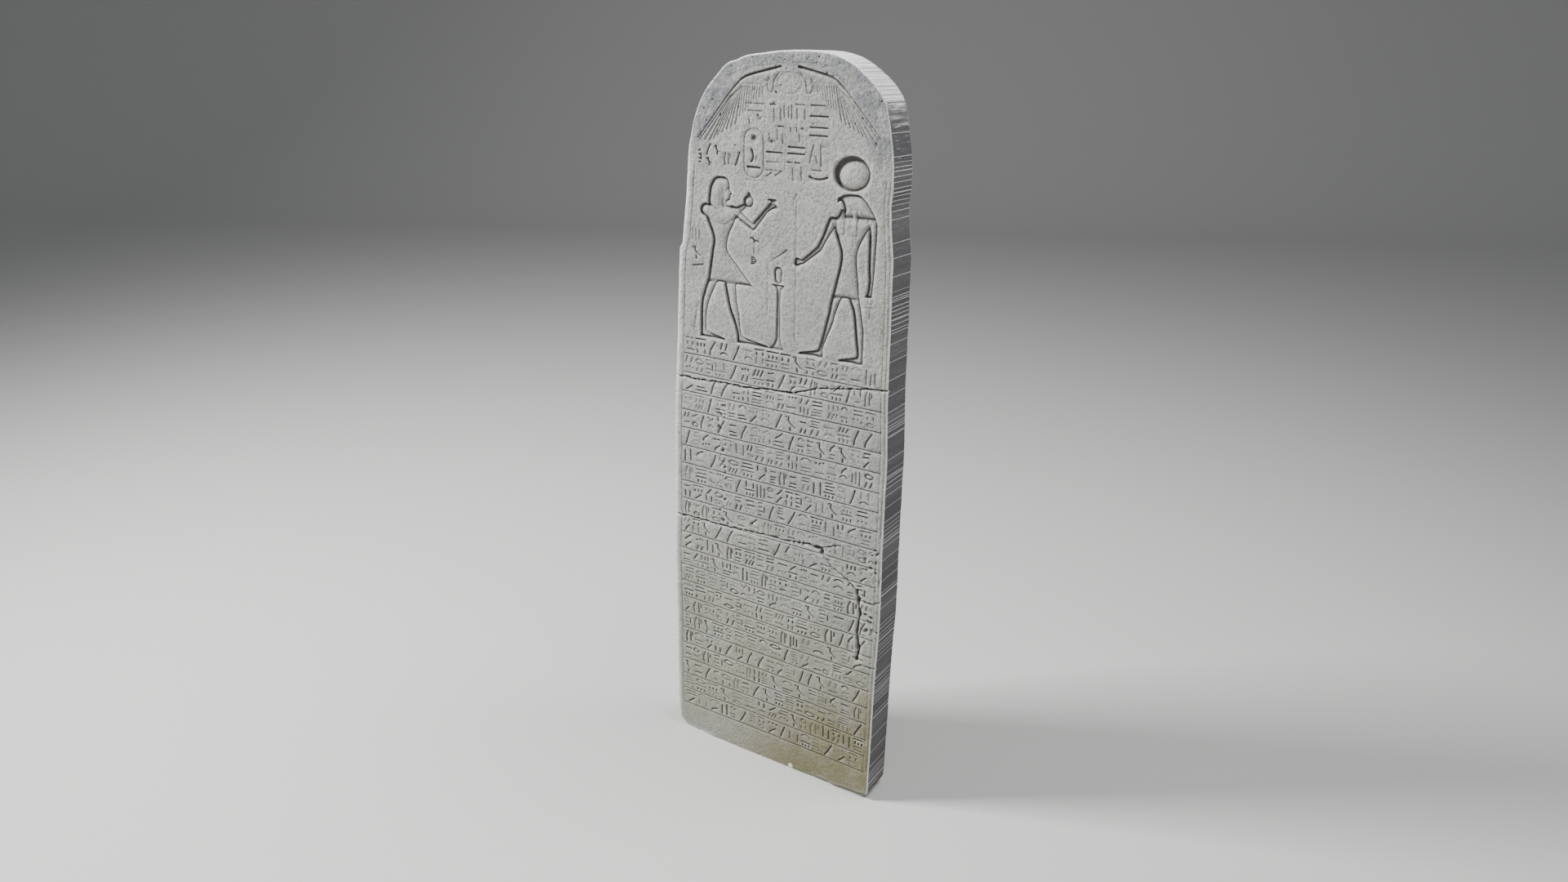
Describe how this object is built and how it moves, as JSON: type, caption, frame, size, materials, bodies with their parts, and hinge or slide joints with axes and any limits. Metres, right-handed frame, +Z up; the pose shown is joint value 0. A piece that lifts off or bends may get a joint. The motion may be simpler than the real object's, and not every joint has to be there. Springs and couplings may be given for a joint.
{
  "type": "carved stone stele",
  "caption": "Tall round-topped stone stele with sunk-relief figures under a winged disc, rows of shallow strokes, two cracks and a flat underside to stand on.",
  "frame": {"origin": "centre of the bounding box at the flat underside", "axes": "+Z up the slab, -Y out of the carved face, +X to the right of a viewer who faces it"},
  "size_m": [0.8236, 0.12, 2.3995],
  "materials": {
    "stone": "grainy pale grey stone, matt, with an ochre stain at the lower right"
  },
  "bodies": {
    "root": {"stele": "stone"}
  },
  "joints": []
}
